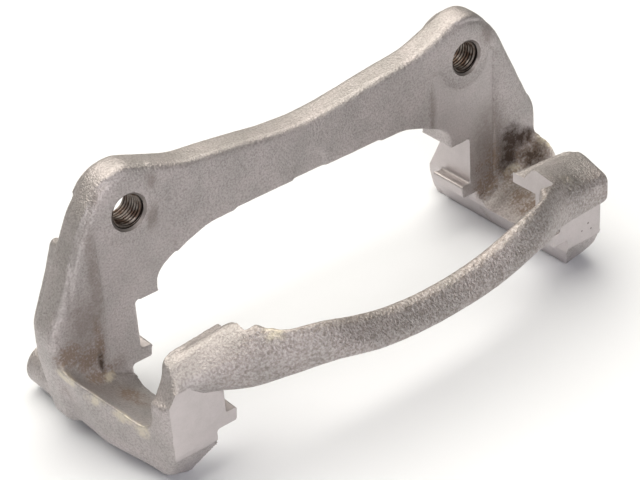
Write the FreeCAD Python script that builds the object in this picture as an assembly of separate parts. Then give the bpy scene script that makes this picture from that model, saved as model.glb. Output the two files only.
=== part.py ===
import FreeCAD, Part

import math
import os

# Brake caliper bracket: one ductile-iron casting that straddles the rim of a brake disc.
# X runs along the bracket, -Y points outboard to the tie bar, +Z up to the mounting ears.
# The origin lies midway between the two threaded holes, on the milled front face of the plate.
# The bracket is symmetric about the plane X = 0, so one half is modelled and mirrored.

V = FreeCAD.Vector

# Driving dimensions, millimetres

# Mounting plate: beam and ears
HOLE_SPACING = 170.0        # between the two threaded holes
THREAD_D = 14.0             # major diameter of the mounting threads, M14 x 2
THREAD_CHAMFER = 1.0        # lead-in at both mouths of each thread
PLATE_BACK = 12.0           # from the milled front face to the back face of the plate
SKIM = 1.0                  # depth that milling takes off the cast front face
EAR_R = 18.3                # ear radius round the threaded hole
BOSS_R = 13.0               # cast boss left standing round the hole
PAD_R = 16.5                # rear mounting pad round the hole
PAD_RISE = 2.0              # height of that pad above the plate's back
BEAM_TOP = 3.4              # top of the beam at mid-length
BEAM_DEPTH = 23.2           # height of the beam at mid-length
BEAM_RISE = 4.2             # how much the beam's top climbs to the foot of the ear
RELIEF_W = 16.0             # shallow cast relief at the beam's lower front edge
RELIEF_H = 9.0
RELIEF_D = 0.9
EDGE_R = 3.2                # rounding of the plate's front outline
BACK_BEVEL = 1.3            # bevel of the plate's back outline

# Abutments: the broached profile that holds the ears of both brake pads
PAD_SPAN = 173.6            # between the back walls of the left and right notches
NOTCH_TOP = -40.0           # height of the notch's upper flank
NOTCH_H = 22.4              # height of the notch
NOTCH_DEPTH = 11.1          # from the back wall out to the upper nose
TOOTH_DEPTH = 5.1           # from the back wall out to the lower tooth
TOOTH_H = 5.6               # height of the lower tooth
HEEL_SET = 4.7              # how far the heel wall lies behind the notch's back wall
HEEL_H = 7.0                # height of the heel wall
BROACH_R = 1.0              # corner radius in the broached profile
INNER_BACK = 18.4           # back end of the inboard abutment
BLOCK_BEVEL = 2.0           # bevel of the abutment's cast back outline

# Arms over the disc
ARM_WIDTH = 39.2            # from the notch's back wall to the outer edge of the plate
ARM_FOOT = 13.2             # from the notch's back wall to the bottom edge of the arm
FOOT_DROP = 14.0            # from the heel's lower end down to that bottom edge
ARM_OUTER = 32.4            # from the notch's back wall to the outer lower corner
ARM_OUTER_RISE = 9.0        # from the bottom edge up to the outer lower corner
ARM_TAPER = 10.0            # how much the arm narrows towards the leg
ARM_LEAN = 0.2              # outward lean of the arm's outer wall at the plate
LOWER_R = 6.5               # rounding of the arm's outer lower edge
FOOT_FLAT = 0.6             # how much of the sharp bottom edge is worn to a flat
SLOT_FRONT = -1.0           # inboard wall of the disc slot
SLOT_W = 37.0               # width of the disc slot at the upper nose
SLOT_SKEW = 0.175           # slope of the slot's outboard wall in plan
SLOT_R = 6.0                # radius at the bottom of the slot
FLOOR_ANGLE = 28.1          # slope of the slot's floor, rising outwards
RIM_SET = 27.0              # from the notch's back wall to where the floor steepens
RIM_ANGLE = 47.0            # slope of the floor from there out to the rim

# Outboard legs
LEG_THICK = 16.5            # from the slot's outboard wall to the leg's milled front face
LEG_RISE = 6.0              # from the notch's upper flank up to the leg's top
LEG_OUTER = 18.2            # from the notch's back wall to the outer edge at the leg's top
LEG_TOE = 15.0              # from the bottom edge up to where the leg's front curves back
LEG_TOE_BACK = 9.2          # how far it curves back down to the bottom edge

# Guide-pin bosses
PIN_SET = 21.5              # from the notch's back wall to the axis of the pin bore
PIN_RISE = 10.6             # from the arm's bottom edge up to that axis
PIN_BOSS_R = 9.6
PIN_END = 39.5              # machined end face of the boss
PIN_BORE_D = 11.0
PIN_BORE_DEPTH = 42.0
PIN_BORE_CHAMFER = 1.0

# Tie bar
BAR_REACH = 14.0            # from the leg's front face out to the bar's back at mid-length
BAR_DROP = 0.8              # from the notch's upper flank down to the bar's top at mid-length
BAR_H = 12.0                # height of the bar
BAR_W = 11.5                # depth of the bar from back to front
BAR_LEAN = 6.5              # how far the front face leans outboard going down
BAR_BEVEL = 1.9             # bevel of the bar's long edges
ROOT_PROUD = 7.5            # how far the bar's right root stands in front of the leg
RIGHT_END = 6.5             # how far the right leg's flat inner end runs in front of the leg
LEFT_END = 1.0              # the same on the left

# Places that follow from the sizes above
hole_x = HOLE_SPACING / 2.0
wall_x = PAD_SPAN / 2.0
nose_x = wall_x - NOTCH_DEPTH
tooth_x = wall_x - TOOTH_DEPTH
heel_x = wall_x + HEEL_SET
outer_x = wall_x + ARM_WIDTH
foot_x = wall_x + ARM_FOOT
corner_x = wall_x + ARM_OUTER
pin_x = wall_x + PIN_SET
notch_bottom = NOTCH_TOP - NOTCH_H
tooth_bottom = notch_bottom - TOOTH_H
heel_bottom = tooth_bottom - HEEL_H
beam_bottom = BEAM_TOP - BEAM_DEPTH
arm_bottom = heel_bottom - FOOT_DROP
arm_outer_z = arm_bottom + ARM_OUTER_RISE
toe_z = arm_bottom + LEG_TOE
pin_z = arm_bottom + PIN_RISE
leg_top = NOTCH_TOP + LEG_RISE
rim_x = wall_x + RIM_SET
slot_back = SLOT_FRONT - SLOT_W
leg_y = slot_back - LEG_THICK


def rounded_outline(corners, place):
    """Closed wire through flat corners (a, b, radius); place(a, b) gives the point in space."""
    count = len(corners)
    joints = []
    for i, (a, b, radius) in enumerate(corners):
        before, after = corners[i - 1], corners[(i + 1) % count]
        to_before = (before[0] - a, before[1] - b)
        to_after = (after[0] - a, after[1] - b)
        len_before, len_after = math.hypot(*to_before), math.hypot(*to_after)
        unit_before = (to_before[0] / len_before, to_before[1] / len_before)
        unit_after = (to_after[0] / len_after, to_after[1] / len_after)
        dot = unit_before[0] * unit_after[0] + unit_before[1] * unit_after[1]
        opening = math.acos(max(-1.0, min(1.0, dot)))
        reach = radius / math.tan(opening / 2.0) if radius > 0 and opening < 3.14 else 0.0
        reach = min(reach, 0.45 * len_before, 0.45 * len_after)
        if reach < 0.02:
            joints.append((place(a, b), None, place(a, b)))
            continue
        fit_radius = reach * math.tan(opening / 2.0)
        start = (a + unit_before[0] * reach, b + unit_before[1] * reach)
        end = (a + unit_after[0] * reach, b + unit_after[1] * reach)
        half = (unit_before[0] + unit_after[0], unit_before[1] + unit_after[1])
        half_len = math.hypot(*half)
        depth = fit_radius / math.sin(opening / 2.0) - fit_radius
        middle = (a + half[0] / half_len * depth, b + half[1] / half_len * depth)
        joints.append((place(*start), place(*middle), place(*end)))
    edges = []
    for i, (start, middle, end) in enumerate(joints):
        if middle is not None:
            edges.append(Part.Arc(start, middle, end).toShape())
        following = joints[(i + 1) % count][0]
        if end.distanceToPoint(following) > 1e-6:
            edges.append(Part.LineSegment(end, following).toShape())
    return Part.Wire(edges)


def prism_y(corners, y_from, y_to):
    """Outline in the X-Z plane, extruded along Y."""
    wire = rounded_outline(corners, lambda x, z: V(x, y_from, z))
    return Part.Face(wire).extrude(V(0, y_to - y_from, 0))


def prism_x(corners, x_from, x_to):
    """Outline in the Y-Z plane, extruded along X."""
    wire = rounded_outline(corners, lambda y, z: V(x_from, y, z))
    return Part.Face(wire).extrude(V(x_to - x_from, 0, 0))


def prism_z(corners, z_from, z_to):
    """Outline in the X-Y plane, extruded along Z."""
    wire = rounded_outline(corners, lambda x, y: V(x, y, z_from))
    return Part.Face(wire).extrude(V(0, 0, z_to - z_from))


def cylinder_y(radius, x, z, y_from, y_to):
    return Part.makeCylinder(radius, y_to - y_from, V(x, y_from, z), V(0, 1, 0))


# Broached profile, shared by the inboard and the outboard abutments.
# From the upper nose down: notch, lower tooth, heel, then the arm's sloping inner face.
broached = [
    (nose_x, NOTCH_TOP, BROACH_R),
    (wall_x, NOTCH_TOP, 1.6),
    (wall_x, notch_bottom, BROACH_R),
    (tooth_x, notch_bottom, BROACH_R),
    (tooth_x + 0.7, tooth_bottom, BROACH_R),
    (heel_x, tooth_bottom, 1.5),
    (heel_x, heel_bottom, 1.5),
    (foot_x, arm_bottom, 1.5),
]


def outline_edges(solid, y, keep=lambda x, z: True):
    """Edges of the solid that lie in the plane at y and pass keep(x, z) at their middle."""
    found = []
    for edge in solid.Edges:
        box = edge.BoundBox
        if abs(box.YMin - y) > 0.01 or abs(box.YMax - y) > 0.01:
            continue
        middle = edge.valueAt((edge.FirstParameter + edge.LastParameter) / 2.0)
        if keep(middle.x, middle.z):
            found.append(edge)
    return found


# Plate: the beam with its ears, one outline of even thickness, rounded along its cast edges.
ear_reach = EAR_R / math.cos(math.radians(34.5))
ear_corner = (hole_x + ear_reach * math.cos(math.radians(77.5)),
              ear_reach * math.sin(math.radians(77.5)))
plate = prism_y([
    (-1.0, arm_bottom, 0.0),
    (-1.0, BEAM_TOP, 0.0),
    (hole_x - 71.0, BEAM_TOP + 0.2 * BEAM_RISE, 160.0),
    (hole_x - 48.0, BEAM_TOP + BEAM_RISE, 120.0),
    (hole_x - 26.0, BEAM_TOP + 1.6 * BEAM_RISE, 40.0),
    (ear_corner[0], ear_corner[1], EAR_R),
    (hole_x + 19.3, 5.5, 30.0),
    (outer_x, NOTCH_TOP + 1.0, 12.0),
    (outer_x, NOTCH_TOP - 12.0, 20.0),
    (corner_x + 3.0, arm_outer_z, 6.0),
    (foot_x, arm_bottom, 0.0),
], -SKIM, PLATE_BACK)


def off_the_base(x, z):
    """The cast top and outer side, apart from the base line and the plane of symmetry."""
    return x > 0.0 and z > arm_outer_z - 4.0


plate = plate.makeFillet(EDGE_R, outline_edges(plate, -SKIM, off_the_base))
plate = plate.makeChamfer(BACK_BEVEL, outline_edges(plate, PLATE_BACK, off_the_base))

# Inboard abutment: a thicker block behind the plate.
block = prism_y([
    (nose_x - 8.0, arm_bottom, 0.0),
    (nose_x - 8.0, NOTCH_TOP + 6.0, 0.0),
    (wall_x - 3.0, NOTCH_TOP + 13.0, 10.0),
    (hole_x + 24.5, -7.0, 2.5),
    (hole_x + 29.5, -21.0, 12.0),
    (outer_x - 3.0, NOTCH_TOP, 12.0),
    (outer_x - 3.0, NOTCH_TOP - 12.0, 20.0),
    (corner_x + 1.0, arm_outer_z, 6.0),
    (foot_x, arm_bottom, 0.0),
], 0.0, INNER_BACK)
block = block.makeChamfer(BLOCK_BEVEL, outline_edges(
    block, INNER_BACK, lambda x, z: x > nose_x - 7.9 and z > arm_outer_z - 4.0))

# Window under the beam, which also gives the inboard abutment its broached profile.
window = prism_y(broached + [
    (foot_x + 3.0, arm_bottom - 9.0, 0.0),
    (-5.0, arm_bottom - 9.0, 0.0),
    (-5.0, beam_bottom, 0.0),
    (nose_x - 39.2, beam_bottom, 0.4),
    (nose_x - 37.7, beam_bottom - 0.9, 0.4),
    (nose_x - 25.7, beam_bottom - 0.9, 20.0),
    (nose_x - 15.2, NOTCH_TOP + 15.8, 16.0),
    (nose_x - 4.2, NOTCH_TOP + 10.2, 8.0),
    (nose_x - 0.2, NOTCH_TOP + 6.0, 7.0),
], -SKIM - 5.0, INNER_BACK + 5.0)
inboard = plate.fuse(block).cut(window)

# Arm and leg: the broached profile carried outboard over the disc.
bottom_slope = (arm_outer_z - arm_bottom) / (corner_x - foot_x)
beyond_x = outer_x + 12.0
arm = prism_y([
    (wall_x + 22.0, NOTCH_TOP - 8.0, 4.0),
    (beyond_x, NOTCH_TOP - 14.0, 0.0),
    (beyond_x, arm_bottom + (beyond_x - foot_x) * bottom_slope, 0.0),
    (foot_x, arm_bottom, 0.0),
    (heel_x, heel_bottom, 1.5),
    (heel_x, tooth_bottom, 1.5),
], leg_y - 1.0, 2.0)
leg = prism_y([
    (nose_x - 1.0, leg_top - 1.5, 0.0),
    (wall_x + LEG_OUTER, leg_top + 0.5, 5.0),
    (wall_x + LEG_OUTER + 1.0, NOTCH_TOP - 1.0, 8.0),
    (wall_x + LEG_OUTER + 5.5, NOTCH_TOP - 8.0, 14.0),
    (beyond_x, NOTCH_TOP - 34.0, 0.0),
    (beyond_x, arm_bottom + (beyond_x - foot_x) * bottom_slope, 0.0),
    (foot_x, arm_bottom, 0.0),
    (nose_x - 1.0, tooth_bottom, 0.0),
], leg_y - 1.0, SLOT_FRONT - SLOT_W + 2.0)

# In plan the arm narrows in a soft curve towards the leg, whose outer corner is rounded.
plan = prism_z([
    (nose_x - 30.0, leg_y - 2.0, 0.0),
    (corner_x + 3.2 - ARM_TAPER, leg_y - 2.0, 12.0),
    (corner_x + 4.2 - ARM_TAPER, leg_y + 12.0, 20.0),
    (corner_x + 0.8, SLOT_FRONT - 0.55 * SLOT_W, 25.0),
    (corner_x + 4.8, SLOT_FRONT - 0.3 * SLOT_W, 20.0),
    (corner_x + 6.4, 2.0, 0.0),
    (nose_x - 30.0, 2.0, 0.0),
], arm_bottom - 5.0, 10.0)
outboard = arm.common(plan).fuse(leg.common(plan)).removeSplitter()
lower_edges = []
for edge in outboard.Edges:
    ends = [vertex.Point for vertex in edge.Vertexes]
    on_bottom = all(abs(point.z - arm_bottom - (point.x - foot_x) * bottom_slope) < 0.01 for point in ends)
    if on_bottom and min(point.x for point in ends) > foot_x + 5.0 and edge.Length > 1.0:
        if abs(ends[0].y - ends[-1].y) > 1.0:
            lower_edges.append(edge)
outboard = outboard.makeFillet(LOWER_R, lower_edges)

# The arm's outer wall leans out from its rounded lower corner.
outboard = outboard.common(prism_y([
    (nose_x - 30.0, 12.0, 0.0),
    (corner_x + (12.0 - arm_outer_z) * ARM_LEAN, 12.0, 0.0),
    (corner_x, arm_outer_z, LOWER_R),
    (foot_x - 6.0, arm_bottom - 6.0 * bottom_slope, 0.0),
    (nose_x - 30.0, arm_bottom - 6.0 * bottom_slope, 0.0),
], leg_y - 5.0, 5.0))

# The front of the leg curves back below its milled face.
side = prism_x([
    (2.0, arm_bottom - 1.0, 0.0),
    (2.0, 10.0, 0.0),
    (leg_y + 11.0, 10.0, 0.0),
    (leg_y + 11.0, leg_top - 0.3, 0.0),
    (leg_y, leg_top - 9.0, 2.0),
    (leg_y, toe_z, 11.0),
    (leg_y + LEG_TOE_BACK, arm_bottom - 1.0, 1.0),
], nose_x - 30.0, outer_x + 10.0)
outboard = outboard.common(side)

# Disc slot: a rounded trough whose floor rises outwards and steepens to the arm's rim.
floor_slope = math.tan(math.radians(FLOOR_ANGLE))


def floor_level(x):
    return heel_bottom + (x - heel_x) * floor_slope


slot_inner, slot_outer = nose_x - 30.0, outer_x + 12.0
slot_walls = prism_z([
    (slot_inner, SLOT_FRONT, 0.0),
    (slot_outer, SLOT_FRONT, 0.0),
    (slot_outer, slot_back - (slot_outer - nose_x) * SLOT_SKEW, 0.0),
    (slot_inner, slot_back - (slot_inner - nose_x) * SLOT_SKEW, 0.0),
], arm_bottom - 30.0, 60.0)
slot = slot_walls.common(prism_y([
    (slot_inner, floor_level(slot_inner), 0.0),
    (rim_x, floor_level(rim_x), 14.0),
    (slot_outer, floor_level(rim_x) + (slot_outer - rim_x) * math.tan(math.radians(RIM_ANGLE)), 0.0),
    (slot_outer, 60.0, 0.0),
    (slot_inner, 60.0, 0.0),
], leg_y - 20.0, 10.0))
slot_edges = []
for edge in slot.Edges:
    first, last = edge.Vertexes[0].Point, edge.Vertexes[-1].Point
    if abs(first.x - last.x) > 0.5 and max(first.z, last.z) < 50.0:
        slot_edges.append(edge)
slot = slot.makeFillet(SLOT_R, slot_edges)
outboard = outboard.cut(slot)

# Guide-pin boss, with the gusset that runs up from it to the back of the abutment.
pin_boss = cylinder_y(PIN_BOSS_R, pin_x, pin_z, 3.0, PIN_END)
pin_boss = pin_boss.makeChamfer(1.0, outline_edges(pin_boss, PIN_END, lambda x, z: True))
keel = prism_y([
    (foot_x, arm_bottom, 1.5),
    (pin_x - PIN_BOSS_R - 0.2, pin_z - 0.5, 3.0),
    (pin_x, pin_z + 2.0, 1.0),
    (pin_x + 3.0, pin_z - PIN_BOSS_R + 0.6, 1.0),
], 0.0, PIN_END)
keel = keel.common(prism_x([
    (-1.0, arm_bottom - 1.0, 0.0), (PIN_END - 0.6, arm_bottom - 1.0, 10.0),
    (PIN_END - 0.6, pin_z + 6.0, 0.0), (-1.0, pin_z + 6.0, 0.0)], foot_x - 12.0, pin_x + 12.0))
gusset = prism_y([
    (wall_x, NOTCH_TOP - 4.0, 1.0),
    (wall_x, notch_bottom - 1.0, 3.0),
    (heel_x, heel_bottom, 2.0),
    (foot_x, arm_bottom, 1.5),
    (pin_x + 4.0, pin_z - 7.0, 2.0),
    (pin_x + PIN_BOSS_R - 0.6, pin_z + 2.0, 3.0),
    (wall_x + 24.0, NOTCH_TOP - 6.0, 6.0),
], 6.0, PIN_END)
gusset = gusset.common(prism_x([
    (6.0, NOTCH_TOP, 0.0),
    (INNER_BACK - 1.0, NOTCH_TOP - 3.0, 0.0),
    (INNER_BACK + 0.6, NOTCH_TOP - 9.0, 10.0),
    (INNER_BACK + 4.6, NOTCH_TOP - 17.0, 30.0),
    (INNER_BACK + 10.0, pin_z + PIN_BOSS_R + 1.5, 8.0),
    (INNER_BACK + 13.0, pin_z, 3.0),
    (INNER_BACK + 10.0, arm_bottom - 1.0, 3.0),
    (6.0, arm_bottom - 1.0, 0.0),
], nose_x, outer_x))

# Rear mounting pad, machined, round the threaded hole.
pad = cylinder_y(PAD_R, hole_x, 0.0, PLATE_BACK - 2.0, PLATE_BACK + PAD_RISE)

# Tie bar with its two roots: one smooth skin from leg to leg through rounded six-sided sections.
# The right root stands proud across the leg's full width and the left one fades into the leg's face.
# Each section: x, then (y, z) of middle back, back top, front top, front edge, front bottom, lower back.
top, low = NOTCH_TOP - BAR_DROP, NOTCH_TOP - BAR_DROP - BAR_H
mid = (top + low) / 2.0
back = leg_y - BAR_REACH
lip, front = back - BAR_W + BAR_LEAN, back - BAR_W
middle_sections = [
    (0.0, [(back + 0.5, mid), (back, top), (lip, top + 1.0), (front, top - 8.4), (front + 1.0, low),
           (back + 1.0, low)]),
    (20.0, [(back + 0.5, mid + 1.3), (back, top + 1.6), (lip, top + 2.6), (front, top - 6.8),
            (front + 1.0, low + 1.0), (back + 1.0, low + 1.0)]),
    (35.0, [(back + 0.3, mid + 4.3), (back - 0.3, top + 5.2), (lip - 0.3, top + 6.0), (front, top - 4.0),
            (front + 0.8, low + 3.4), (back + 1.0, low + 3.4)]),
    (49.0, [(back, mid + 8.8), (back - 1.0, top + 11.0), (lip, top + 11.0), (front + 0.3, top),
            (front + 0.7, low + 8.6), (back + 1.0, low + 6.5)]),
]
right_sections = [
    (nose_x - 14.7, [(back + 1.6, mid + 8.2), (back + 0.8, top + 12.8), (lip + 2.0, top + 11.1),
                     (front + 4.5, top + 2.0), (front + 5.5, low + 5.6), (back + 2.5, low + 3.5)]),
    (nose_x - 9.0, [(back + 3.6, mid + 7.4), (back + 3.3, top + 12.2), (lip + 4.6, top + 10.2),
                    (front + 7.4, top + 1.0), (front + 8.4, low + 4.7), (back + 5.1, low + 2.4)]),
    (nose_x - 3.0, [(leg_y + 10.5, top + 4.3), (leg_y + 4.5, top + 12.4), (leg_y - 10.0, top + 10.6),
                    (leg_y - 14.5, top + 1.8), (leg_y - 13.7, low + 3.2), (leg_y - 1.0, low - 1.2)]),
    (nose_x + 4.0, [(leg_y + 12.5, top + 4.3), (leg_y + 6.5, top + 12.0), (leg_y - 6.0, top + 9.3),
                    (leg_y - 10.5, top + 1.8), (leg_y - 10.5, low + 1.8), (leg_y + 1.0, low - 2.5)]),
    (wall_x + 5.2, [(leg_y + 12.5, leg_top - 1.2), (leg_y + 8.0, leg_top + 1.4), (leg_y - 1.0, leg_top - 2.4),
                    (leg_y - ROOT_PROUD, top + 0.1), (leg_y - ROOT_PROUD, low - 0.6), (leg_y + 1.0, low - 4.0)]),
    (wall_x + 21.0, [(leg_y + 12.5, leg_top - 2.0), (leg_y + 8.5, leg_top - 1.2), (leg_y - 1.0, leg_top - 4.4),
                     (leg_y - ROOT_PROUD, top + 0.3), (leg_y - ROOT_PROUD, low - 0.2),
                     (leg_y + 1.0, low - 3.0)]),
]
left_sections = [
    (nose_x - 14.7, [(back + 1.9, mid + 7.8), (back + 1.3, top + 13.2), (lip + 2.8, top + 10.6),
                     (front + 6.2, top + 4.3), (front + 7.5, low + 5.4), (back + 2.5, low + 3.0)]),
    (nose_x - 9.0, [(back + 4.6, mid + 7.0), (back + 4.4, top + 12.4), (lip + 6.0, top + 9.4),
                    (front + 9.3, top + 2.6), (front + 10.7, low + 3.8), (back + 5.4, low + 2.1)]),
    (nose_x - 3.0, [(leg_y + 10.5, top + 4.3), (leg_y + 4.5, top + 13.2), (leg_y - 6.5, top + 9.6),
                    (leg_y - 12.0, top + 3.2), (leg_y - 11.0, low + 2.2), (leg_y - 1.0, low - 1.2)]),
    (nose_x + 4.0, [(leg_y + 12.5, top + 4.3), (leg_y + 6.5, top + 12.6), (leg_y - 3.0, top + 8.4),
                    (leg_y - 8.6, top + 2.4), (leg_y - 7.6, low + 0.8), (leg_y + 1.0, low - 2.0)]),
    (wall_x + 5.2, [(leg_y + 12.5, leg_top - 1.4), (leg_y + 8.0, leg_top + 1.4), (leg_y + 1.5, leg_top - 3.6),
                    (leg_y - 3.6, top + 0.2), (leg_y - 2.6, low + 5.0), (leg_y + 2.0, low + 1.0)]),
    (wall_x + 18.4, [(leg_y + 12.5, leg_top - 2.2), (leg_y + 8.5, leg_top - 1.4), (leg_y + 5.0, leg_top - 5.0),
                     (leg_y + 1.0, top - 1.2), (leg_y + 2.0, low + 7.0), (leg_y + 5.0, low + 4.0)]),
]


def section_points(side, x, corners, bevel):
    """Corner points of a bevelled section at x; side is 1 on the right and -1 on the left."""
    points = []
    for i, (y, z) in enumerate(corners):
        for other in (corners[i - 1], corners[(i + 1) % len(corners)]):
            length = math.hypot(other[0] - y, other[1] - z)
            reach = min(bevel, 0.4 * length) / length
            points.append(V(side * x, y + (other[0] - y) * reach, z + (other[1] - z) * reach))
    return points


def cast_skin(rows):
    """Solid inside smooth strips that run lengthwise between matching points of all the rows."""
    around, along = len(rows[0]), len(rows)
    faces = []
    for i in range(around):
        surface = Part.BSplineSurface()
        surface.buildFromPolesMultsKnots(
            [[row[column] for row in rows] for column in (i, (i + 1) % around)],
            [2, 2], [4] + [1] * (along - 4) + [4],
            [0.0, 1.0], [float(knot) for knot in range(along - 2)], False, False, 1, 3)
        faces.append(surface.toShape())
    faces += [Part.Face(Part.makePolygon(row + row[:1])) for row in (rows[0], rows[-1])]
    shell = Part.makeShell(faces)
    shell.sewShape()
    solid = Part.makeSolid(shell)
    if solid.Volume < 0:
        solid.reverse()
    return solid


bar_rows = [section_points(-1, *row, BAR_BEVEL) for row in reversed(middle_sections[1:] + left_sections)]
bar_rows += [section_points(1, *row, BAR_BEVEL) for row in middle_sections + right_sections]
bar = cast_skin(bar_rows)

# Broached profile of the outboard abutment, and the flat inner end of each leg above it.
notch = prism_y(broached + [
    (foot_x + 3.0, arm_bottom - 9.0, 0.0),
    (nose_x - 20.0, arm_bottom - 9.0, 0.0),
    (nose_x - 20.0, NOTCH_TOP, 0.0),
], leg_y - 1.0, slot_back + 6.0)
right_end = Part.makeBox(20.0, 40.0, 120.0, V(nose_x - 20.0, leg_y - RIGHT_END, arm_bottom - 9.0))
left_end = Part.makeBox(20.0, 40.0, 120.0, V(-nose_x, leg_y - LEFT_END, arm_bottom - 9.0))

half = inboard.fuse([outboard, pin_boss, keel, gusset, pad])

# Machining: skim of the front face beside the boss, threaded hole and pin bore.
skim_cut = prism_y([
    (nose_x - 9.7, -1.5, 0.5),
    (wall_x + 13.7, -1.5, 0.5),
    (wall_x + 13.7, arm_bottom - 5.0, 0.0),
    (nose_x - 9.7, arm_bottom - 5.0, 0.0),
], -SKIM - 0.5, 0.0)
skim_cut = skim_cut.cut(cylinder_y(BOSS_R, hole_x, 0.0, -SKIM - 2.0, 2.0))
above_floor = Part.Face(Part.makePolygon([
    V(nose_x - 20.0, -5.0, 5.0), V(wall_x + 30.0, -5.0, 5.0),
    V(wall_x + 30.0, -5.0, floor_level(wall_x + 30.0) + 3.0),
    V(nose_x - 20.0, -5.0, floor_level(nose_x - 20.0) + 3.0),
    V(nose_x - 20.0, -5.0, 5.0)])).extrude(V(0, 10.0, 0))
half = half.cut(skim_cut.common(above_floor))
half = half.cut(prism_y([
    (-5.0, beam_bottom - 5.0, 0.0), (-5.0, beam_bottom + RELIEF_H, 0.0),
    (RELIEF_W / 2.0, beam_bottom + RELIEF_H, RELIEF_W / 2.2), (RELIEF_W / 2.0, beam_bottom - 5.0, 0.0),
], -SKIM - 1.0, -SKIM + RELIEF_D))
half = half.cut(cylinder_y(THREAD_D / 2.0, hole_x, 0.0, -SKIM - 5.0, PLATE_BACK + PAD_RISE + 5.0))
half = half.cut(cylinder_y(PIN_BORE_D / 2.0, pin_x, pin_z, PIN_END - PIN_BORE_DEPTH, PIN_END + 1.0))


def lead_in(bore_d, chamfer, x, y, z, outward):
    """Cone that chamfers a bore's mouth at y; outward is the mouth's side, 1 or -1 along Y."""
    radius = bore_d / 2.0
    return Part.makeCone(radius, radius + 2.0 * chamfer, 2.0 * chamfer,
                         V(x, y - outward * chamfer, z), V(0, outward, 0))


half = half.cut([lead_in(THREAD_D, THREAD_CHAMFER, hole_x, -SKIM, 0.0, -1),
                 lead_in(THREAD_D, THREAD_CHAMFER, hole_x, PLATE_BACK + PAD_RISE, 0.0, 1),
                 lead_in(PIN_BORE_D, PIN_BORE_CHAMFER, pin_x, PIN_END, pin_z, 1)])

half = half.common(Part.makeBox(300.0, 400.0, 400.0, V(0.0, -200.0, -200.0)))
casting = half.fuse([half.mirror(V(0, 0, 0), V(1, 0, 0)), bar])
casting = casting.cut([notch, notch.mirror(V(0, 0, 0), V(1, 0, 0)), right_end, left_end])
casting = casting.cut(Part.makeBox(400.0, 300.0, 20.0, V(-200.0, -150.0, arm_bottom + FOOT_FLAT - 20.0)))
casting = casting.removeSplitter()

os.makedirs("parts", exist_ok=True)
casting.exportStep("parts/bracket_casting.step")
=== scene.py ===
import math

import bpy
import bmesh
import numpy as np
from mathutils import Matrix, Vector, noise
from mathutils.bvhtree import BVHTree


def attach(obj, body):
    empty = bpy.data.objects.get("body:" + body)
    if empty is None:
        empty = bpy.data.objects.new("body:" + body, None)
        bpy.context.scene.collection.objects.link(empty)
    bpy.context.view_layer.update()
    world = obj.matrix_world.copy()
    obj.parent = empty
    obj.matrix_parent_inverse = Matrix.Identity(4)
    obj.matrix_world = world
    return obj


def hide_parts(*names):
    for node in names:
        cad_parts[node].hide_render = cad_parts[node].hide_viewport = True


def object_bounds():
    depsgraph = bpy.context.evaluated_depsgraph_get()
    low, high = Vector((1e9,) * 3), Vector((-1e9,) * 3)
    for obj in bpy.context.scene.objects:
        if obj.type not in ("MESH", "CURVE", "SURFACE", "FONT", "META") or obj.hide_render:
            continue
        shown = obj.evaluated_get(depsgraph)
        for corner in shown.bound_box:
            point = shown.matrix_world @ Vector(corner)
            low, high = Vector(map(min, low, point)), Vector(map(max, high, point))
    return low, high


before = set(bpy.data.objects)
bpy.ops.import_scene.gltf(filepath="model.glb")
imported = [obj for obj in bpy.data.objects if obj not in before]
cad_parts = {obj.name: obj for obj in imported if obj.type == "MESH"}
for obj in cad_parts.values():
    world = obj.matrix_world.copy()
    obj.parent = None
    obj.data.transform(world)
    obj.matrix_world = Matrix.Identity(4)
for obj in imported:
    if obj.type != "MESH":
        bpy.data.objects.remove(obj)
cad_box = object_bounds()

scene = bpy.context.scene
MM = 0.001

# Bracket casting
# The whole bracket is one ductile-iron sand casting: a beam with two mounting ears, two arms over the
# disc, pad abutments and a tie bar. It is blasted clean, then milled, broached, drilled and tapped, so
# its skin is grainy with soft blends and its working faces are flat with crisp edges.
welded = bmesh.new()
welded.from_mesh(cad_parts["bracket_casting"].data)
bmesh.ops.remove_doubles(welded, verts=welded.verts, dist=0.002 * MM)
bmesh.ops.recalc_face_normals(welded, faces=welded.faces)
casting_mesh = bpy.data.meshes.new("bracket_casting_skin")
welded.to_mesh(casting_mesh)
cad_tree = BVHTree.FromBMesh(welded)
welded.free()
casting = bpy.data.objects.new("bracket_casting_skin", casting_mesh)
scene.collection.objects.link(casting)

HOLE_X = 85.0                   # from the middle to each mounting hole, mm as all sizes named here
PIN_X, PIN_Z = 108.3, -78.4     # axis of the guide-pin bores
LEG_FRONT = -54.5               # milled front face of the legs
TRIANGLE_LIMIT = 180000         # for the casting without its threads


def settle(piece):
    """Turn the piece's modifiers into plain mesh."""
    bpy.context.view_layer.update()
    piece.data = bpy.data.meshes.new_from_object(piece.evaluated_get(bpy.context.evaluated_depsgraph_get()))
    piece.modifiers.clear()
    return piece.data


def hole_distance(points):
    """Distance of each point (mm) from the axis of the nearer mounting hole."""
    return np.hypot(np.abs(points[:, 0]) - HOLE_X, points[:, 2])


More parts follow.
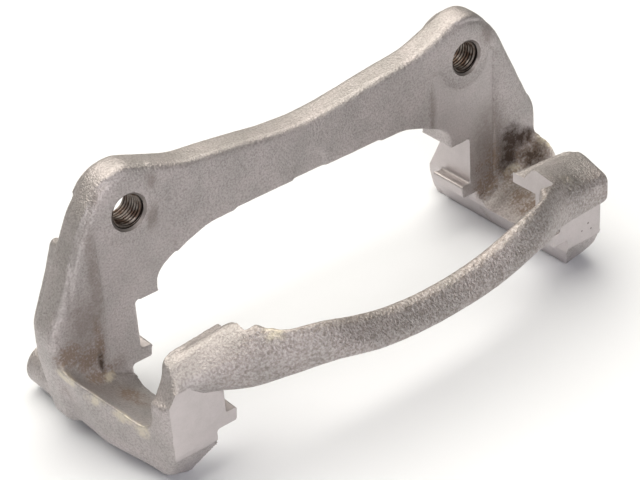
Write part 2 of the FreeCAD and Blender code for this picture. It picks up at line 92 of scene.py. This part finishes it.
def machined_faces(points):
    """How finely cut the solid is at points given in mm: 1 broached, turned or drilled, less where
    milling only skimmed the plate, 0 as cast."""
    facing = np.array([cad_tree.find_nearest(Vector(point) * MM)[1][:] for point in points])
    x, y, z = np.abs(points[:, 0]), points[:, 1], points[:, 2]
    plate = (facing[:, 1] < -0.97) & (np.abs(y) < 0.25) & (x > 65.0) & (x < 101.5)
    # The broach runs along Y through both abutments; the troughs between them stay as cast.
    along_broach = np.abs(facing[:, 1]) < 0.05
    broached = along_broach & (x > 74.6) & (x < 100.5) & (z < -39.6) & (z > -88.0) & (y > -56.0)
    trough_wall = (z > -70.0) & (x > 95.0)
    trough_floor = (facing[:, 2] > 0.2) & (y > -37.5) & (y < -1.5)
    broached &= ~trough_wall & ~trough_floor
    leg_end = (np.abs(facing[:, 0]) > 0.97) & (np.abs(x - 75.7) < 0.3) & (z > -42.0) & (y < -37.0)
    leg_front = (facing[:, 1] < -0.97) & (np.abs(y - LEG_FRONT) < 0.25) & (x > 75.0)
    rear_pad = (facing[:, 1] > 0.97) & (np.abs(y - 14.0) < 0.25)
    boss_end = (y > 38.3) & (z < -60.0)
    bolt_hole = hole_distance(points) < 8.15
    pin_bore = (np.hypot(x - PIN_X, z - PIN_Z) < 5.7) & (y > -3.0)
    fine = broached | leg_end | leg_front | rear_pad | boss_end | bolt_hole | pin_bore
    skimmed = np.where(points[:, 0] > 0.0, 0.35, 0.12)
    return np.where(fine, 1.0, np.where(plate, skimmed, 0.0))


def beside(points, line):
    """Distance of each point (mm) from a line in the front face, its side, and how far along it lies."""
    nearest, side, along_line = np.full(len(points), 100.0), np.zeros(len(points)), np.zeros(len(points))
    for number, (start, end) in enumerate(zip(line, line[1:])):
        span = np.subtract(end, start)
        away = points[:, [0, 2]] - start
        along = np.clip((away @ span) / (span @ span), 0.0, 1.0)
        distance = np.linalg.norm(away - along[:, None] * span, axis=1)
        closer = distance < nearest
        turn = span[0] * away[:, 1] - span[1] * away[:, 0]
        nearest = np.where(closer, distance, nearest)
        side = np.where(closer, np.sign(turn * (line[-1][0] - line[0][0])), side)
        along_line = np.where(closer, (number + along) / (len(line) - 1), along_line)
    return nearest, side, along_line


left_rim = [(-80.0, 15.2), (-86.5, 15.9), (-93.0, 15.0), (-98.0, 11.8), (-102.6, 4.5), (-107.4, -3.0),
            (-111.5, -12.0), (-114.5, -24.0), (-117.0, -40.0)]
right_rim = [(74.0, 14.6), (80.0, 15.8), (87.0, 16.0), (93.5, 13.9), (98.5, 9.5), (102.0, 3.0)]


grid = casting.modifiers.new("grid", "REMESH")
grid.mode = "SHARP"
grid.octree_depth = 9
grid.scale = 0.97
grid.sharpness = 1.0
grid.use_remove_disconnected = False
skin = settle(casting)

# The nick behind the top of the left root is partly filled. Then the mould's soft blends are laid on,
# softest on the tie bar, its roots, the toes and the ears' rims.
points = np.array([vertex.co[:] for vertex in skin.vertices]) / MM
upward = np.array([vertex.normal[2] for vertex in skin.vertices])
crown = np.array((-73.5, -57.5, -30.0))
near_crown = np.exp(-(((points - crown) / (3.0, 4.5, 5.0)) ** 2).sum(axis=1))
raised = points + np.outer(2.2 * near_crown * (upward > -0.2), (0.0, 0.0, 1.0))
skin.vertices.foreach_set("co", (raised * MM).ravel())
skin.update()
cut = machined_faces(points)
rough = (cut < 0.1) | ((cut < 0.9) & (np.abs(points[:, 0]) < 97.0))
soft = rough & ((points[:, 1] < -52.0) | ((np.abs(points[:, 0]) > 101.0) & (points[:, 1] < 1.0))
                | (hole_distance(points) < 18.0))
toes = rough & (points[:, 1] < -46.0) & (points[:, 2] < -71.0)
on_left = np.column_stack((-np.abs(points[:, 0]), points[:, 1], points[:, 2]))
rims = rough & (beside(on_left, left_rim)[0] < 7.0) & (points[:, 1] < 7.5) & (points[:, 1] > -3.0)
saddle = rough & (np.linalg.norm((points - crown) * (1.0, 1.0, 0.8), axis=1) < 6.5)
for name, picked, rounds in (
    ("cast", rough, 30),
    ("softer", soft, 45),
    ("toes", toes, 150),
    ("rims", rims, 170),
    ("saddle", saddle, 120),
):
    group = casting.vertex_groups.new(name=name)
    for index in np.nonzero(picked)[0]:
        group.add([int(index)], 1.0, "REPLACE")
    blend = casting.modifiers.new(name, "SMOOTH")
    blend.factor = 0.5
    blend.iterations = rounds
    blend.vertex_group = name
skin = settle(casting)

# The sand leaves low lumps and rougher patches on the roots of the bar. The ears' rims stand a little
# proud of their front face, with a narrow groove along them.
points = np.array([vertex.co[:] for vertex in skin.vertices]) / MM
outwards = np.array([vertex.normal[:] for vertex in skin.vertices])
lift = np.zeros(len(points))
rough_patches = [
    ((87.5, -63.0, -33.0), 8.5, 0.75),
    ((-67.0, -62.0, -33.0), 6.5, 0.35),
]
for index in np.nonzero(rough)[0]:
    point = Vector(points[index])
    lift[index] = 0.11 * noise.noise(point / 9.0) + 0.05 * noise.noise(point / 3.0 + Vector((7, 3, 1)))
    lift[index] += 0.025 * noise.noise(point / 1.3)
    for middle, reach, height in rough_patches:
        near = 1.0 - (point - Vector(middle)).length / reach
        if near > 0.0:
            lift[index] += height * min(1.0, 2.0 * near) * noise.noise(point / 2.6 + Vector((2, 9, 4)))
    lift[index] *= 1.0 - cut[index]
moved = points + outwards * lift[:, None]
near_front = rough * np.clip((9.0 - points[:, 1]) / 7.0, 0.0, 1.0) * (points[:, 1] > -1.6)
for line, rim, groove in ((left_rim, 0.35, 0.75), (right_rim, 0.4, 0.5)):
    nearest, side, along_line = beside(points, line)
    strength = near_front * np.clip(4.0 * np.minimum(along_line, 1.0 - along_line), 0.0, 1.0)
    moved[:, 1] -= strength * rim * np.exp(-((nearest * side - 2.8) / 2.0) ** 2)
    moved[:, 1] += strength * groove * np.exp(-(nearest / 1.1) ** 2)
moved = np.clip(moved * MM, np.array(cad_box[0]), np.array(cad_box[1]))
skin.vertices.foreach_set("co", moved.ravel())
skin.update()

triangles = sum(len(face.vertices) - 2 for face in skin.polygons)
if triangles > TRIANGLE_LIMIT:
    thin = casting.modifiers.new("thin", "DECIMATE")
    thin.ratio = TRIANGLE_LIMIT / triangles
    skin = settle(casting)

# What each face is: how finely cut, whether at the mouth of a tapped hole, and how sandy its skin is.
middles = np.array([face.center[:] for face in skin.polygons]) / MM
for name, values in (
    ("machined", machined_faces(middles)),
    ("mouth", (hole_distance(middles) < 8.1).astype(float)),
    ("coarse", np.clip((-54.0 - middles[:, 1]) / 5.0, 0.0, 1.0)),
):
    skin.attributes.new(name, "FLOAT", "FACE").data.foreach_set("value", values)


def start_material(name):
    """A new material with its nodes, its links, its shader and its texture coordinates."""
    material = bpy.data.materials.new(name)
    material.use_nodes = True
    tree = material.node_tree
    return material, tree.nodes, tree.links, tree.nodes["Principled BSDF"], tree.nodes.new("ShaderNodeTexCoord")


def own(name):
    """One of the casting's own attributes."""
    node = nodes.new("ShaderNodeAttribute")
    node.attribute_name = name
    return node.outputs["Fac"]


def ranged(value, low, high, low_value=0.0, high_value=1.0):
    """A value stretched from its low..high range to two values, and held between them."""
    stretch = nodes.new("ShaderNodeMapRange")
    for socket, number in (("From Min", low), ("From Max", high), ("To Min", low_value), ("To Max", high_value)):
        stretch.inputs[socket].default_value = number
    links.new(value, stretch.inputs["Value"])
    return stretch.outputs["Result"]


def mottle(scale, detail, low, high, low_value, high_value):
    """Noise of one scale, stretched from its low..high range to two values."""
    cloud = nodes.new("ShaderNodeTexNoise")
    cloud.inputs["Scale"].default_value = scale
    cloud.inputs["Detail"].default_value = detail
    links.new(position.outputs["Object"], cloud.inputs["Vector"])
    return ranged(cloud.outputs["Fac"], low, high, low_value, high_value)


def combine(kind, first, second):
    """One step of arithmetic on two values, each a number or a link."""
    node = nodes.new("ShaderNodeMath")
    node.operation = kind
    for socket, value in zip(node.inputs, (first, second)):
        if isinstance(value, float):
            socket.default_value = value
        else:
            links.new(value, socket)
    return node.outputs["Value"]


def colour_mix(kind, amount, first, second):
    """Blend two colours; each may be a link or a plain colour."""
    node = nodes.new("ShaderNodeMix")
    node.data_type = "RGBA"
    node.blend_type = kind
    for socket, value in ((node.inputs["Factor"], amount), (node.inputs["A"], first), (node.inputs["B"], second)):
        if isinstance(value, (float, tuple)):
            socket.default_value = value
        else:
            links.new(value, socket)
    return node.outputs["Result"]


def stain(spots, patchy):
    """Largest of several soft spots, each (place, reach) in mm, broken up by a patchy noise."""
    largest = None
    for place, reach in spots:
        ball = nodes.new("ShaderNodeMapping")
        ball.inputs["Scale"].default_value = [1.0 / (size * MM) for size in reach]
        ball.inputs["Location"].default_value = [-at / size for at, size in zip(place, reach)]
        links.new(position.outputs["Object"], ball.inputs["Vector"])
        fade = nodes.new("ShaderNodeTexGradient")
        fade.gradient_type = "SPHERICAL"
        links.new(ball.outputs["Vector"], fade.inputs["Vector"])
        spot = fade.outputs["Fac"]
        largest = spot if largest is None else combine("MAXIMUM", largest, spot)
    return ranged(combine("MULTIPLY", largest, patchy), 0.04, 0.62)


# Blasted iron in two greys, speckled by the shot and sandier in front of the legs; cut iron is lighter.
iron, nodes, links, surface, position = start_material("blasted_iron")
cast_colour = colour_mix("MIX", mottle(70.0, 3.0, 0.38, 0.62, 0.0, 1.0), (0.53, 0.487, 0.487, 1.0),
                         (0.465, 0.434, 0.43, 1.0))
cast_colour = colour_mix("MULTIPLY", mottle(1200.0, 3.0, 0.34, 0.60, 0.6, 0.0), cast_colour,
                         (0.55, 0.53, 0.51, 1.0))
sandy_speck = combine("MULTIPLY", own("coarse"), mottle(800.0, 3.0, 0.36, 0.60, 0.6, 0.0))
cast_colour = colour_mix("MULTIPLY", sandy_speck, cast_colour, (0.50, 0.46, 0.41, 1.0))
cut_colour = colour_mix("MIX", mottle(240.0, 3.0, 0.3, 0.7, 0.0, 1.0), (0.565, 0.52, 0.522, 1.0),
                        (0.525, 0.487, 0.485, 1.0))
base = colour_mix("MIX", own("machined"), cast_colour, cut_colour)
# Painted shade: the mouths of the tapped holes, chamfers included, are darkened towards brown-black.
base = colour_mix("MIX", combine("MULTIPLY", own("mouth"), 0.7), base, (0.17, 0.145, 0.13, 1.0))

# Grey darkening along the ears' rims, the relief and the arms: smudges where the shot reached less well, and
# painted shade in the grooves beside the rims.
smudge_and_groove_shade = stain([
    ((-103.5, -0.5, -24.0), (4.5, 4.0, 34.0)),
    ((-110.0, -0.5, -38.0), (10.0, 4.0, 16.0)),
    ((-98.5, -0.5, 11.0), (3.0, 3.0, 4.0)),
    ((-74.0, -1.0, 9.5), (4.0, 3.0, 5.0)),
    ((-75.0, -1.0, -7.0), (4.5, 3.0, 9.0)),
    ((97.0, -1.0, 8.0), (5.0, 3.0, 8.0)),
    ((66.0, -0.5, -18.0), (3.5, 3.0, 16.0)),
    ((98.0, -0.5, -45.0), (13.0, 3.0, 26.0)),
], mottle(420.0, 4.0, 0.3, 0.65, 0.5, 1.2))
base = colour_mix("MIX", combine("MULTIPLY", smudge_and_groove_shade, 0.55), base, (0.22, 0.185, 0.165, 1.0))

# Brown scale in the arms' pockets and troughs and on the right root.
fine_patches = combine("MULTIPLY", mottle(900.0, 3.0, 0.34, 0.62, 0.15, 1.3),
                       mottle(140.0, 4.0, 0.36, 0.6, 0.4, 1.1))
brown = stain([
    ((-119.0, -2.0, -49.0), (9.0, 7.0, 8.0)),
    ((-111.0, -1.0, -54.0), (9.0, 5.0, 10.0)),
    ((-105.5, -1.0, -53.0), (3.2, 4.0, 19.0)),
    ((-109.0, -2.0, -63.0), (20.0, 5.0, 6.5)),
    ((117.0, -5.0, -57.0), (18.0, 12.0, 12.0)),
    ((99.5, -0.5, -66.0), (10.0, 5.0, 26.0)),
    ((93.0, -0.5, -64.0), (6.0, 5.0, 16.0)),
    ((101.0, -20.0, -69.0), (13.0, 20.0, 7.0)),
    ((-101.0, -14.0, -69.0), (13.0, 12.0, 6.0)),
    ((108.0, -3.0, -66.0), (14.0, 6.0, 9.0)),
    ((90.0, -64.0, -33.0), (9.0, 10.0, 3.0)),
], fine_patches)
base = colour_mix("MIX", combine("MULTIPLY", brown, 0.8), base, (0.20, 0.135, 0.095, 1.0))

# Nearly black burnt-on sand, mostly in the right pocket.
burnt = stain([
    ((109.5, -1.0, -49.5), (8.0, 6.0, 10.0)),
    ((108.0, -1.0, -58.0), (6.5, 5.0, 8.0)),
    ((124.0, -6.0, -58.0), (8.0, 8.0, 9.0)),
    ((117.0, -1.5, -51.0), (9.0, 4.0, 6.0)),
    ((118.0, -8.0, -59.0), (10.0, 9.0, 6.0)),
    ((-105.8, -1.0, -58.0), (1.8, 3.0, 7.0)),
], combine("MULTIPLY", mottle(380.0, 5.0, 0.30, 0.62, 0.35, 1.2),
           mottle(1300.0, 3.0, 0.3, 0.65, 0.7, 1.15)))
base = colour_mix("MIX", combine("MULTIPLY", burnt, 0.93), base, (0.05, 0.028, 0.017, 1.0))

# Pale cream on the troughs' rims and on the roots of the bar: a painted highlight along the rims' lips, and cream
# sand skin on the roots.
pale = stain([
    ((110.5, -2.0, -64.5), (6.0, 4.0, 3.5)),
    ((-104.0, -2.0, -66.0), (5.0, 4.0, 2.5)),
    ((124.5, -9.0, -53.5), (3.0, 12.0, 5.0)),
    ((-124.0, -6.0, -54.0), (3.0, 8.0, 3.5)),
    ((-121.0, -19.0, -58.5), (3.0, 8.0, 3.5)),
    ((-117.0, -31.0, -62.0), (3.5, 8.0, 3.5)),
    ((-113.5, -39.0, -65.0), (4.0, 6.0, 4.0)),
    ((87.5, -63.0, -32.0), (8.0, 8.0, 6.0)),
    ((-67.0, -62.0, -32.0), (6.0, 6.0, 6.0)),
], mottle(300.0, 4.0, 0.4, 0.6, 0.3, 1.3))
base = colour_mix("MIX", combine("MULTIPLY", pale, 0.6), base, (0.72, 0.66, 0.53, 1.0))

# Four small pits in the milled fronts of the legs.
pits = stain([
    ((103.3, -54.5, -65.0), (0.75, 0.7, 0.7)),
    ((105.1, -54.5, -68.4), (0.6, 0.6, 0.7)),
    ((99.7, -54.5, -67.4), (0.6, 0.7, 0.6)),
    ((-88.3, -54.5, -50.7), (0.7, 0.7, 0.8)),
], 1.0)
base = colour_mix("MIX", combine("MULTIPLY", pits, 0.8), base, (0.10, 0.08, 0.07, 1.0))
links.new(base, surface.inputs["Base Color"])

# Rust and scale are dull. The cast skin has a fine grain, and the cut faces have next to none.
dull = combine("MAXIMUM", brown, burnt)
links.new(ranged(dull, 0.0, 1.0, 0.75, 0.1), surface.inputs["Metallic"])
sheen_break = combine("ADD", mottle(1500.0, 2.0, 0.3, 0.7, 0.36, 0.56), combine("MULTIPLY", dull, 0.3))
links.new(sheen_break, surface.inputs["Roughness"])
grain = nodes.new("ShaderNodeBump")
grain.inputs["Distance"].default_value = 0.7 * MM
links.new(ranged(own("machined"), 0.0, 1.0, 0.75, 0.05), grain.inputs["Strength"])
relief = combine("ADD", mottle(1100.0, 3.0, 0.0, 1.0, 0.0, 0.7), mottle(2600.0, 2.0, 0.0, 1.0, 0.0, 0.3))
relief = combine("ADD", relief,
                 combine("MULTIPLY", own("coarse"), mottle(700.0, 2.0, 0.0, 1.0, 0.0, 0.75)))
links.new(relief, grain.inputs["Height"])
links.new(grain.outputs["Normal"], surface.inputs["Normal"])
skin.materials.clear()
skin.materials.append(iron)

# Mounting threads
# Two M14 x 1.5 threads, cut straight into the ears' iron with a tap. A ridge of 60 degree form winds
# through each hole and runs out at both mouths; its crests are brown with oil and old rust, the iron between the
# ridges is painted near black as shade, and the mouths are darker with painted shade.
thread_iron, nodes, links, surface, position = start_material("tapped_iron")
split = nodes.new("ShaderNodeSeparateXYZ")
links.new(position.outputs["Object"], split.inputs["Vector"])
across = combine("SUBTRACT", combine("ABSOLUTE", split.outputs["X"], 0.0), HOLE_X * MM)
squares = combine("ADD", combine("MULTIPLY", across, across),
                  combine("MULTIPLY", split.outputs["Z"], split.outputs["Z"]))
# Painted shade: from the crests towards the hole's wall the thread darkens to near black.
depth = ranged(combine("POWER", squares, 0.5), 6.2 * MM, 6.85 * MM)
crest_colour = colour_mix("MIX", mottle(300.0, 4.0, 0.4, 0.6, 0.0, 1.0), (0.34, 0.30, 0.27, 1.0),
                          (0.13, 0.08, 0.055, 1.0))
thread_colour = colour_mix("MIX", depth, crest_colour, (0.014, 0.009, 0.007, 1.0))
links.new(thread_colour, surface.inputs["Base Color"])
surface.inputs["Metallic"].default_value = 0.7
links.new(mottle(800.0, 2.0, 0.3, 0.7, 0.3, 0.5), surface.inputs["Roughness"])

thread_tree = bpy.data.node_groups.new("tapped_thread", "GeometryNodeTree")
thread_sizes = {
    "Pitch": 1.5 * MM,
    "Wall radius": 7.06 * MM,
    "Crest radius": 6.19 * MM,
    "Length": 12.9 * MM,
    "Spacing": 2.0 * HOLE_X * MM,
}
for name, size in thread_sizes.items():
    socket = thread_tree.interface.new_socket(name=name, in_out="INPUT", socket_type="NodeSocketFloat")
    socket.default_value = size
thread_tree.interface.new_socket(name="Thread", in_out="OUTPUT", socket_type="NodeSocketGeometry")
nodes, links = thread_tree.nodes, thread_tree.links
sizes_in = nodes.new("NodeGroupInput")
result = nodes.new("NodeGroupOutput")


def corner(across, along):
    """A point given by two coordinates, each a number or a link."""
    node = nodes.new("ShaderNodeCombineXYZ")
    for socket, value in zip(node.inputs, (across, along)):
        if isinstance(value, float):
            socket.default_value = value
        else:
            links.new(value, socket)
    return node.outputs["Vector"]


helix = nodes.new("GeometryNodeCurveSpiral")
helix.inputs["Resolution"].default_value = 72
helix.inputs["Reverse"].default_value = True
links.new(combine("DIVIDE", sizes_in.outputs["Length"], sizes_in.outputs["Pitch"]), helix.inputs["Rotations"])
links.new(sizes_in.outputs["Wall radius"], helix.inputs["Start Radius"])
links.new(sizes_in.outputs["Wall radius"], helix.inputs["End Radius"])
links.new(sizes_in.outputs["Length"], helix.inputs["Height"])
upright = nodes.new("GeometryNodeSetCurveNormal")
upright.mode = "Z_UP"
links.new(helix.outputs["Curve"], upright.inputs["Curve"])
run = nodes.new("GeometryNodeSplineParameter")
run_out = nodes.new("ShaderNodeFloatCurve")
taper = run_out.mapping.curves[0].points
for full_from in (0.04, 0.96):
    taper.new(full_from, 1.0)
taper[0].location = (0.0, 0.15)
taper[-1].location = (1.0, 0.15)
for spot in taper:
    spot.handle_type = "VECTOR"
run_out.mapping.update()
links.new(run.outputs["Factor"], run_out.inputs["Value"])
section = nodes.new("GeometryNodeCurvePrimitiveQuadrilateral")
section.mode = "POINTS"
half_foot = combine("MULTIPLY", sizes_in.outputs["Pitch"], 0.46)
half_crest = combine("MULTIPLY", sizes_in.outputs["Pitch"], 0.14)
reach_in = combine("SUBTRACT", sizes_in.outputs["Crest radius"], sizes_in.outputs["Wall radius"])
links.new(corner(0.0, half_foot), section.inputs["Point 1"])
links.new(corner(reach_in, half_crest), section.inputs["Point 2"])
links.new(corner(reach_in, combine("MULTIPLY", half_crest, -1.0)), section.inputs["Point 3"])
links.new(corner(0.0, combine("MULTIPLY", half_foot, -1.0)), section.inputs["Point 4"])
ridge = nodes.new("GeometryNodeCurveToMesh")
ridge.inputs["Fill Caps"].default_value = True
links.new(upright.outputs["Curve"], ridge.inputs["Curve"])
links.new(run_out.outputs["Value"], ridge.inputs["Scale"])
links.new(section.outputs["Curve"], ridge.inputs["Profile Curve"])
lay = nodes.new("GeometryNodeTransform")
lay.inputs["Rotation"].default_value = (-math.pi / 2.0, 0.0, 0.0)
links.new(ridge.outputs["Mesh"], lay.inputs["Geometry"])
holes = nodes.new("GeometryNodeMeshLine")
holes.inputs["Count"].default_value = 2
half_span = combine("MULTIPLY", sizes_in.outputs["Spacing"], -0.5)
links.new(corner(half_span, 0.05 * MM), holes.inputs["Start Location"])
links.new(corner(sizes_in.outputs["Spacing"], 0.0), holes.inputs["Offset"])
placed = nodes.new("GeometryNodeInstanceOnPoints")
links.new(holes.outputs["Mesh"], placed.inputs["Points"])
links.new(lay.outputs["Geometry"], placed.inputs["Instance"])
real = nodes.new("GeometryNodeRealizeInstances")
links.new(placed.outputs["Instances"], real.inputs["Geometry"])
finish = nodes.new("GeometryNodeSetMaterial")
finish.inputs["Material"].default_value = thread_iron
links.new(real.outputs["Geometry"], finish.inputs["Geometry"])
links.new(finish.outputs["Geometry"], result.inputs["Thread"])

threads = bpy.data.objects.new("mounting_threads", bpy.data.meshes.new("mounting_threads"))
scene.collection.objects.link(threads)
threads.modifiers.new("thread", "NODES").node_group = thread_tree
thread_mesh = settle(threads)

# The threads are part of the casting, so they are joined into its mesh.
thread_mesh.polygons.foreach_set("material_index", np.ones(len(thread_mesh.polygons), dtype=np.int32))
in_thread = (hole_distance(middles) < 7.1) & (middles[:, 1] > -0.1) & (middles[:, 1] < 13.1)
skin.polygons.foreach_set("material_index", in_thread.astype(np.int32))
joined = bmesh.new()
joined.from_mesh(skin)
joined.from_mesh(thread_mesh)
joined.to_mesh(skin)
joined.free()
bpy.data.objects.remove(threads)
skin.materials.append(thread_iron)
skin.shade_smooth()
skin.set_sharp_from_angle(angle=math.radians(38))
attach(casting, "root")
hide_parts("bracket_casting")

# Floor, light and camera
# A plain pale studio floor under a large soft overhead light; the camera stands where the
# photograph was taken from.
floor_mesh = bpy.data.meshes.new("floor")
level = cad_box[0][2]
reach = 4.0
floor_mesh.from_pydata([(-reach, -reach, level), (reach, -reach, level), (reach, reach, level),
                        (-reach, reach, level)], [], [(0, 1, 2, 3)])
floor = bpy.data.objects.new("floor", floor_mesh)
scene.collection.objects.link(floor)
floor_paint = bpy.data.materials.new("pale_floor")
floor_paint.use_nodes = True
surface = floor_paint.node_tree.nodes["Principled BSDF"]
surface.inputs["Base Color"].default_value = (0.84, 0.86, 0.91, 1.0)
surface.inputs["Roughness"].default_value = 0.9
floor_mesh.materials.append(floor_paint)


def soft_light(name, place, target, size, power, colour):
    """A rectangular soft box at a place, turned to a target."""
    light = bpy.data.lights.new(name, "AREA")
    light.shape = "RECTANGLE"
    light.size, light.size_y = size
    light.energy = power
    light.color = colour
    lamp = bpy.data.objects.new(name, light)
    scene.collection.objects.link(lamp)
    lamp.location = place
    lamp.rotation_euler = (Vector(target) - Vector(place)).to_track_quat("-Z", "Y").to_euler()


soft_light("overhead", (-0.02, 0.25, 0.85), (0, 0, 0), (1.6, 1.2), 19.0, (1.0, 0.96, 0.86))
soft_light("front", (-0.35, -1.15, 0.5), (0.03, 0, -0.03), (1.0, 0.9), 8.5, (1.0, 0.97, 0.97))
world = bpy.data.worlds.new("studio")
world.use_nodes = True
nodes, links = world.node_tree.nodes, world.node_tree.links
direction = nodes.new("ShaderNodeTexCoord")
from_side = nodes.new("ShaderNodeVectorMath")
from_side.operation = "DOT_PRODUCT"
from_side.inputs[1].default_value = (-0.55, 0.1, 0.83)
links.new(direction.outputs["Generated"], from_side.inputs[0])
links.new(ranged(from_side.outputs["Value"], -0.6, 0.8, 0.15, 0.85), nodes["Background"].inputs["Strength"])
scene.world = world

# The camera's angles, distance, target and lens were fitted to the photograph.
azimuth, elevation, roll = math.radians(37.056), math.radians(33.185), math.radians(-3.934)
ahead = Vector((math.sin(azimuth) * math.cos(elevation), math.cos(azimuth) * math.cos(elevation),
                -math.sin(elevation)))
right = Vector((math.cos(azimuth), -math.sin(azimuth), 0.0))
up = right.cross(ahead)
right, up = right * math.cos(roll) + up * math.sin(roll), up * math.cos(roll) - right * math.sin(roll)
target = Vector((3.2329, 0.0, -53.3078)) * MM
distance = 792.0627 * MM
camera_data = bpy.data.cameras.new("camera")
camera_data.lens = 108.93
camera_data.sensor_width = 36.0
camera_data.clip_start = 0.01
camera = bpy.data.objects.new("camera", camera_data)
scene.collection.objects.link(camera)
turn = Matrix((right, up, -ahead)).transposed().to_4x4()
camera.matrix_world = Matrix.Translation(target - ahead * distance) @ turn
scene.camera = camera

scene.view_settings.view_transform = "Standard"
